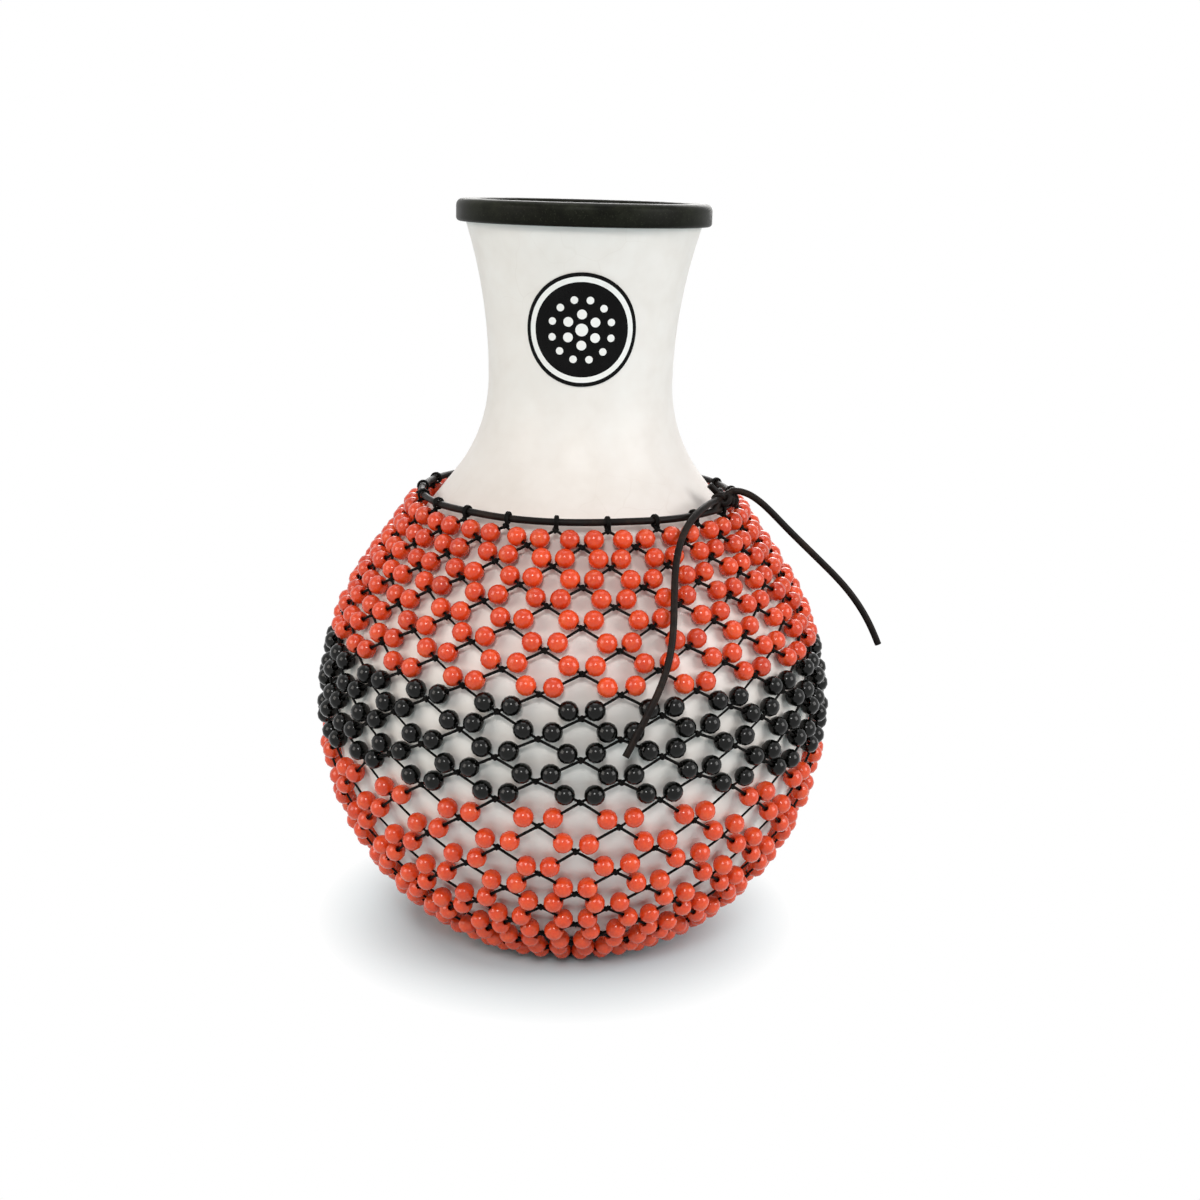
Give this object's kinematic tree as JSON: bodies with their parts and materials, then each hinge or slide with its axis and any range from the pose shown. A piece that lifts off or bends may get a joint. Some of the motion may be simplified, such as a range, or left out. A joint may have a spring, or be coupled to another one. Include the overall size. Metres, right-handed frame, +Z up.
{
  "type": "shekere",
  "caption": "Hollow gourd-shaped shaker with an open rubber-rimmed neck, wrapped in a loose corded net of round beads that turns about the body and is tied by a drawstring.",
  "frame": {"origin": "on the floor plane under the centre of the gourd's foot", "axes": "+Z up along the gourd's axis towards the mouth, front with the badge faces -Y, +X to the right seen from the front"},
  "size_m": [0.2498, 0.2338, 0.328],
  "materials": {
    "gourd_shell": "pearly off-white gelcoat on moulded fibreglass, glossy",
    "rim_rubber": "satin black rubber",
    "badge_film": "glossy printed film",
    "bead_orange": "glossy opaque orange-red",
    "bead_black": "glossy opaque black",
    "net_cord": "waxed black twine",
    "drawstring": "satin black round cord"
  },
  "bodies": {
    "gourd": {"shell": "gourd_shell", "rim_trim": "rim_rubber", "neck_badge": "badge_film"},
    "net": {"beads_row_01": "bead_orange", "beads_row_02": "bead_orange", "beads_row_03": "bead_orange", "beads_row_04": "bead_orange", "beads_row_05": "bead_orange", "beads_row_06": "bead_orange", "beads_row_07": "bead_orange", "beads_row_08": "bead_orange", "beads_row_09": "bead_black", "beads_row_10": "bead_black", "beads_row_11": "bead_black", "beads_row_12": "bead_black", "beads_row_13": "bead_black", "beads_row_14": "bead_orange", "beads_row_15": "bead_orange", "beads_row_16": "bead_orange", "beads_row_17": "bead_orange", "beads_row_18": "bead_orange", "beads_row_19": "bead_orange", "beads_row_20": "bead_orange", "beads_row_21": "bead_orange", "beads_row_22": "bead_orange", "beads_row_23": "bead_orange", "net_cord_row_01": "net_cord", "net_cord_row_02": "net_cord", "net_cord_row_03": "net_cord", "net_cord_row_04": "net_cord", "net_cord_row_05": "net_cord", "net_cord_row_06": "net_cord", "net_cord_row_07": "net_cord", "net_cord_row_08": "net_cord", "net_cord_row_09": "net_cord", "net_cord_row_10": "net_cord", "net_cord_row_11": "net_cord", "net_cord_row_12": "net_cord", "net_cord_row_13": "net_cord", "net_cord_row_14": "net_cord", "net_cord_row_15": "net_cord", "net_cord_row_16": "net_cord", "net_cord_row_17": "net_cord", "net_cord_row_18": "net_cord", "net_cord_row_19": "net_cord", "net_cord_row_20": "net_cord", "net_cord_row_21": "net_cord", "net_cord_row_22": "net_cord", "net_cord_row_23": "net_cord", "collar_loops": "net_cord", "collar_cord": "drawstring", "collar_knot": "drawstring", "drawstring_tail_left": "drawstring", "drawstring_tail_right": "drawstring", "base_loops": "net_cord", "base_cord": "net_cord"}
  },
  "joints": [
    {"name": "net_twist", "type": "hinge", "parent": "gourd", "child": "net", "pos_m": [0, 0, 0.105], "axis": [0, 0, 1], "continuous": true}
  ]
}
